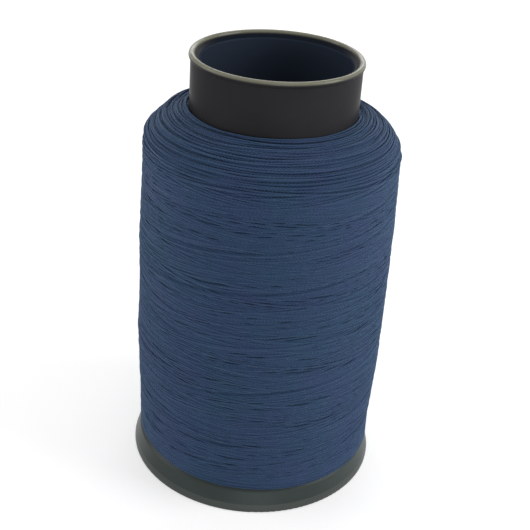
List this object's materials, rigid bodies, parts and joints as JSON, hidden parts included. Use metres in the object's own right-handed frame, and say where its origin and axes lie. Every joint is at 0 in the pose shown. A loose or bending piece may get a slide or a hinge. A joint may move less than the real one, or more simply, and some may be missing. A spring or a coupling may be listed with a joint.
{
  "type": "spool of thread",
  "caption": "Spool of sewing thread wound on an open plastic tube that stands on a conical base flange.",
  "frame": {"origin": "centre of the ring that the spool stands on, at the floor", "axes": "+Z along the tube's axis, up towards the open mouth"},
  "size_m": [0.0636, 0.0636, 0.108],
  "materials": {
    "tube_plastic": "satin moulded",
    "flange_plastic": "smooth moulded",
    "thread": "twisted thread, close wound"
  },
  "bodies": {
    "root": {"spool_tube": "tube_plastic", "base_flange": "flange_plastic", "thread_core": "thread", "outer_turns": "thread"}
  },
  "joints": []
}
